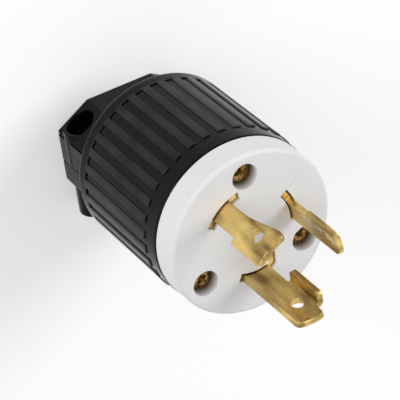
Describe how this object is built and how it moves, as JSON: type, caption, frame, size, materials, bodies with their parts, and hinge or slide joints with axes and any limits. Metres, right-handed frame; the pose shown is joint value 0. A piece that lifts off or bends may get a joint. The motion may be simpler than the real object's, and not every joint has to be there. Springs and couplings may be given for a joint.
{
  "type": "locking power plug",
  "caption": "Straight locking power plug: curved brass blades in a white face, ribbed black shell and a split cord clamp, with the wire terminals inside.",
  "frame": {"origin": "centre of the plug on the flat rear face of the cord clamp", "axes": "+Z along the plug towards the blades; +Y through one face screw and normal to the parting plane of the clamp, towards the half with the screw heads"},
  "size_m": [0.0526, 0.0526, 0.0993],
  "materials": {
    "black_nylon": "glossy moulded black nylon",
    "white_nylon": "satin moulded white nylon",
    "base_nylon": "matte moulded off-white nylon",
    "blade_brass": "stamped, lightly brushed",
    "bronze_screw": "bronze-toned plating, satin",
    "nickel_plate": "nickel plated",
    "green_screw": "green passivated",
    "fibre": "red vulcanised fibre"
  },
  "bodies": {
    "root": {"rear_housing": "black_nylon", "front_body": "white_nylon", "terminal_base": "base_nylon", "blade_neutral": "blade_brass", "blade_hot": "blade_brass", "blade_ground": "blade_brass", "wire_plate_neutral": "nickel_plate", "wire_plate_hot": "blade_brass", "wire_plate_ground": "blade_brass", "terminal_screw_neutral": "nickel_plate", "terminal_screw_hot": "blade_brass", "terminal_screw_ground": "green_screw", "assembly_screws": "bronze_screw", "screw_retainers": "fibre", "housing_inserts": "blade_brass", "base_screw": "nickel_plate", "clamp_upper": "black_nylon", "clamp_lower": "black_nylon", "clamp_screws": "bronze_screw", "clamp_nuts": "nickel_plate"}
  },
  "joints": []
}
